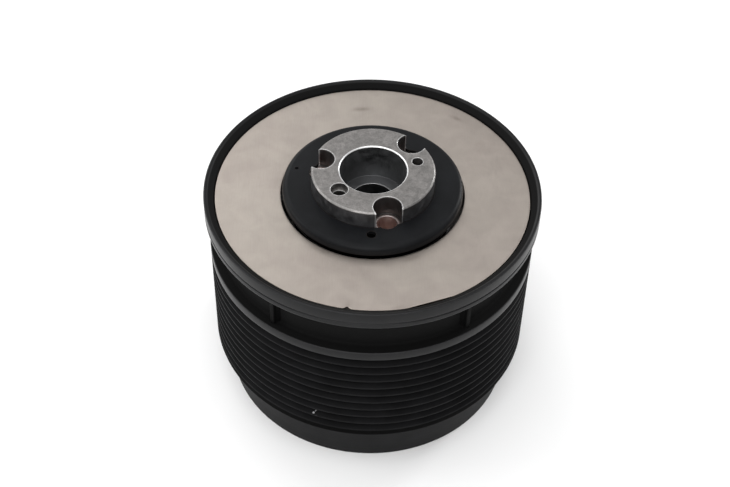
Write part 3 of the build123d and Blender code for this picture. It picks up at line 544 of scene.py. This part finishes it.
ground_bearing_steel = grained("ground_bearing_steel", ("a9a9ab", "bcbcbe"), 1.0, (0.16, 0.26), 0.8, 0.003)
phosphated_steel = grained("phosphated_spring_steel", ("2b2b2d", "3a3a3c"), 0.6, (0.45, 0.6), 0.4, 0.01)
zinc_plate = grained("zinc_plated_steel", ("9d9fa1", "b8bab9"), 1.0, (0.3, 0.42), 0.6, 0.006)
machined_iron = grained("machined_low_carbon_steel", ("6f6c69", "8b8885"), 1.0, (0.4, 0.55), 0.7, 0.01)
nylon = grained("moulded_nylon", ("b39b72", "c4ae86"), 0.0, (0.4, 0.5), 1.2, 0.01)
bobbin_nylon = grained("glass_filled_nylon", ("8c8068", "a2967c"), 0.0, (0.5, 0.62), 0.5, 0.01)
rubber = grained("moulded_nitrile_rubber", ("121213", "1d1d1e"), 0.0, (0.6, 0.75), 0.3, 0.01)
resin = grained("cast_epoxy", ("0d0d0d", "191918"), 0.0, (0.22, 0.34), 2.5, 0.02)
lining = grained("moulded_friction_lining", ("3b332c", "57493c"), 0.0, (0.7, 0.85), 0.5, 0.03)
enamelled_wire = grained("enamelled_copper_wire", ("7c3516", "a65a2c"), 0.8, (0.25, 0.35), 0.5, 0.02)

FINISHES = {
    "field_shell": band_coat, "pulley_shell": pulley_coat, "cover_plate": cover_coat, "hub": turned_steel,
    "armature_plate": ground_steel, "coil_bobbin": bobbin_nylon, "coil_winding": enamelled_wire,
    "coil_potting": resin, "lead_grommet": rubber, "rotor_disc": machined_iron, "friction_ring": lining,
    "spacer_sleeve": machined_iron, "hub_rivets": zinc_plate, "armature_rivets": zinc_plate,
    "leaf_springs": phosphated_steel, "main_bearing_seals": rubber, "field_bearing_shields": zinc_plate,
}
KINDS = {"circlip": phosphated_steel, "cage": nylon, "balls": ground_bearing_steel,
         "ring": ground_bearing_steel}
for name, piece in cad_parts.items():
    finish_or_shade = FINISHES.get(name) or next(m for word, m in KINDS.items() if word in name)
    piece.data.materials.clear()
    piece.data.materials.append(finish_or_shade)
print("finished", len(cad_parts), "carried-over pieces")

# %% [markdown]
# ## The armature ring
#
# A flat ground ring that hangs on leaf springs just above the pulley's friction face.  A short flat is
# cut on its outer edge to balance it, and its edge has a small nick.  The ring is a lathe shape whose
# outer radius is held back where the flat and the nick are, and its top has enough rows of points to
# carry the stains.  Its underside stays a hair above the friction face when it is drawn down.

# %% Armature ring
CONTACT_GAP = 0.03
RING_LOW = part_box("armature_plate")[0].z / MM + CONTACT_GAP
RING_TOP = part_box("armature_plate")[1].z / MM
RING_IN_R, RING_OUT_R, STEP_R = 29.2, 49.95, 36.0
STEP_Z = RING_TOP - 2.6
FLUX_R0, FLUX_R1, FLUX_DEPTH = 38.0, 39.6, 2.0
FLAT_AT, FLAT_AZ, FLAT_DEPTH, FLAT_STEP, FLAT_HALF_TURN = 49.4, np.radians(-68.5), 1.4, 0.1, 0.155
NICK_AZ, NICK_DEEP, NICK_WIDE = np.radians(-97.6), 0.9, 0.013


def turn_between(angle, azimuth):
    """The angle from an azimuth, wrapped to plus or minus half a turn."""
    return (angle - azimuth + np.pi) % (2 * np.pi) - np.pi


def held_back(r, angle, z):
    """Outer radius limited near the top by the balancing flat, r cos(turn) < flat, and by the nick."""
    top = np.clip((z - (RING_TOP - FLAT_DEPTH)) / FLAT_STEP, 0, 1)
    turn = turn_between(angle, FLAT_AZ)
    flat = FLAT_AT / np.cos(np.clip(turn, -0.5, 0.5))
    nick = RING_OUT_R - NICK_DEEP * np.exp(-(turn_between(angle, NICK_AZ) / NICK_WIDE) ** 2)
    limit = np.minimum(flat, nick)
    return np.where(r > limit, r + top * (limit - r), r), z


outline = rounded([
    (RING_IN_R, STEP_Z), (STEP_R, STEP_Z), (STEP_R, RING_LOW), (FLUX_R0, RING_LOW),
    (FLUX_R0, RING_LOW + FLUX_DEPTH), (FLUX_R1, RING_LOW + FLUX_DEPTH), (FLUX_R1, RING_LOW),
    (RING_OUT_R, RING_LOW), (RING_OUT_R, RING_TOP), (RING_IN_R, RING_TOP),
], 0.12)
shelf = np.flatnonzero(outline[:, 0] > RING_OUT_R - 0.001)
low_out = shelf[outline[shelf, 1] < RING_TOP - FLAT_DEPTH][-1]
shelf_rows = [(RING_OUT_R, RING_TOP - FLAT_DEPTH), (RING_OUT_R, RING_TOP - FLAT_DEPTH + FLAT_STEP)]
outline = np.insert(outline, low_out + 1, shelf_rows, axis=0)
TOP_ROWS, RING_TURNS = 40, 720
top_side = np.abs(outline[:, 1] - RING_TOP) < 0.001
last = np.flatnonzero(top_side & (outline[:, 0] > STEP_R))[-1]
across = np.linspace(outline[last, 0], outline[last + 1, 0], TOP_ROWS + 2)[1:-1]
outline = np.insert(outline, last + 1, np.stack([across, np.full(TOP_ROWS, RING_TOP)], -1), axis=0)
points = lathe(outline, RING_TURNS, held_back)
armature = grid_mesh("armature_ring", points)

STAINS = [  # radius, azimuth, size along the circle, size across, strength
    (40.2, 96.5, 2.7, 0.9, 0.62), (45.6, 53.6, 2.3, 0.7, 0.48), (30.2, -96.0, 4.0, 0.7, 0.16),
    (30.4, -120.0, 4.0, 0.8, 0.30), (31.2, -66.0, 2.6, 0.9, 0.30), (36.0, -97.0, 7.0, 3.0, 0.07),
    (42.5, 160.0, 6.0, 4.0, 0.05), (48.3, -97.6, 0.8, 1.6, 0.25), (49.2, -80.0, 3.0, 0.5, 0.22),
    (38.0, 150.0, 1.0, 8.0, 0.06), (33.5, 112.0, 2.0, 1.5, 0.10), (44.0, 20.0, 5.0, 2.0, 0.05),
]
spots = np.array(STAINS)
flat_points = points.reshape(-1, 3)
r, angle = np.hypot(flat_points[:, 0], flat_points[:, 1]), np.arctan2(flat_points[:, 1], flat_points[:, 0])
along = turn_between(angle[:, None], np.radians(spots[:, 1])) * r[:, None] / spots[:, 2]
over = (r[:, None] - spots[:, 0]) / spots[:, 3]
stain_and_shade = (spots[:, 4] * np.exp(-along ** 2 - over ** 2)).sum(1)
stain_and_shade += 0.12 * np.exp(-((r - RING_IN_R) / 0.2) ** 2) + 0.25 * np.exp(-((r - RING_OUT_R) / 0.25) ** 2)
# Painted shade: the balancing flat's sunken shelf gets the stain colour at full strength.
on_shelf = (r > FLAT_AT - 0.15) & (flat_points[:, 2] < RING_TOP - 0.05)
stain_and_shade += (np.abs(turn_between(angle, FLAT_AZ)) < FLAT_HALF_TURN) & on_shelf
layer = armature.data.attributes.new("stain_and_shade", "FLOAT", "POINT")
layer.data.foreach_set("value", np.clip(stain_and_shade, 0, 1).astype(np.float32))
mount(armature, "armature", ground_steel, "ground_steel", "armature_plate")

# %% [markdown]
# ## Pulley, neck and guard rim
#
# One casting: ten V-grooves at 3.56 mm between two lands, a narrow neck, and a rim that guards the
# armature.  The whole outline is one profile, with the grooves worked out as an array: each is a flat
# root and two flanks at 20 degrees.  Crests and roots are rounded by different amounts.

# %% Pulley
RIM_R, RIM_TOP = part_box("pulley_shell")[1].x / MM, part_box("pulley_shell")[1].z / MM
FLANGE_LOW, FRICTION_Z, DISC_LOW = LAND_TOP + 12.6, LAND_TOP + 12.9, LAND_TOP + 5.5
SHELL_IN_R, NECK_R, DISC_SEAT_R = 45.7, 48.8, 46.7
EDGE, RIM_IN_R, FOOT, UNDER_Z, FLANK = 0.4, 50.35, 0.6, FRICTION_Z - 2.6, np.radians(20)
root = MOUTH - DEPTH * np.tan(FLANK)
first = PULLEY_LOW + BOTTOM_LAND + MOUTH
centre = first + PITCH * np.arange(GROOVES)[:, None]
groove_r = np.tile([PULLEY_R, PULLEY_R - DEPTH, PULLEY_R - DEPTH, PULLEY_R], (GROOVES, 1))
groove_z = centre + np.array([-MOUTH, -root, root, MOUTH])
grooves = np.stack([groove_r, groove_z], -1).reshape(-1, 2)
groove_round = np.tile([0.16, 0.3, 0.3, 0.16], GROOVES)
below = [(SHELL_IN_R, PULLEY_LOW), (PULLEY_R, PULLEY_LOW)]
BEAD_Z, BEAD = FLANGE_LOW + 2.2, 0.35
above = [
    (PULLEY_R, LAND_TOP), (NECK_R, LAND_TOP), (NECK_R, UNDER_Z), (NECK_R + FOOT, UNDER_Z),
    (RIM_R - EDGE, FLANGE_LOW), (RIM_R, FLANGE_LOW + EDGE), (RIM_R, BEAD_Z - BEAD), (RIM_R - BEAD, BEAD_Z),
    (RIM_R, BEAD_Z + BEAD), (RIM_R, RIM_TOP), (RIM_R - 2 * EDGE, RIM_TOP), (RIM_IN_R, RING_TOP + EDGE),
    (RIM_IN_R, FRICTION_Z), (DISC_SEAT_R, FRICTION_Z), (DISC_SEAT_R, DISC_LOW), (SHELL_IN_R, DISC_LOW),
]
above_round = [0.35, 0.9, 0.9, 0.3, 0.2, 0.3, 0.12, 0.15, 0.12, 0.4, 0.3, 0.3, 0.1, 0.1, 0.1, 0.1]
radii = np.concatenate([[0.3, 0.35], groove_round, above_round])
profile = rounded(np.vstack([below, grooves, above]), radii)
PULLEY_TURNS = 360
pulley = grid_mesh("pulley_and_rim", lathe(profile, PULLEY_TURNS))
mount(pulley, "rotor", pulley_coat, "pulley_coating", "pulley_shell")
pulley.data.materials.append(rib_coat)
on_ribs = (profile[:, 1] < RIBS_TOP) & (profile[:, 0] > PULLEY_R - DEPTH - 0.1)
pulley.data.polygons.foreach_set("material_index", np.tile(on_ribs.astype(np.int32), PULLEY_TURNS))
print("groove centres from", round(float(centre[0, 0]), 2), "to", round(float(centre[-1, 0]), 2), "mm")

# %% [markdown]
# Five upright webs stiffen the neck.  Each is a bar that spreads where it meets the neck and the two
# flanges, as cast metal does: its half width grows by a quarter circle of a small radius there.

# %% Neck webs
WEBS, FIRST_WEB, WEB_HALF, WEB_OUT_R, WEB_IN_R = 5, -53.5, 0.8, 51.0, NECK_R - 0.8
SPREAD, END_SHARE, SUNK, SQUARENESS = 1.0, 0.8, 0.3, 0.35
v = np.linspace(0, 1, 33)[:, None]
around_bar = np.linspace(0, 2 * np.pi, 40, endpoint=False)[None, :]
bar_low, bar_high = LAND_TOP - SUNK, UNDER_Z + SUNK
level = bar_low + v * (bar_high - bar_low)


def quarter_spread(gap):
    """Extra half width at a distance gap from a wall: s minus the root of s^2 - (s - gap)^2, s the spread."""
    inside = np.clip(SPREAD - gap, 0, SPREAD)
    return SPREAD - np.sqrt(SPREAD ** 2 - inside ** 2)


out = np.sign(np.cos(around_bar)) * np.abs(np.cos(around_bar)) ** SQUARENESS
wide = np.sign(np.sin(around_bar)) * np.abs(np.sin(around_bar)) ** SQUARENESS
reach_mid, reach_half = (WEB_OUT_R + WEB_IN_R) / 2, (WEB_OUT_R - WEB_IN_R) / 2
x = reach_mid + reach_half * out + 0 * v
ends_spread = quarter_spread(np.minimum(level - bar_low, bar_high - level))
y = wide * (WEB_HALF + quarter_spread(np.clip(x - NECK_R, 0, None)) + END_SHARE * ends_spread)
bar = np.stack([x, y, level + 0 * x], -1)
webs = []
for k in range(WEBS):
    a = np.radians(FIRST_WEB + 360 / WEBS * k)
    turned = bar @ np.array([[np.cos(a), np.sin(a), 0], [-np.sin(a), np.cos(a), 0], [0, 0, 1]])
    web = grid_mesh(f"neck_web_{k + 1}", turned[:, ::-1], close_u=False)
    web.data.materials.append(web_coat_painted_shade)
    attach(web, "rotor")
    webs.append(web)
print("webs:", len(webs), "each", round(float(bar_high - bar_low), 1), "mm tall")
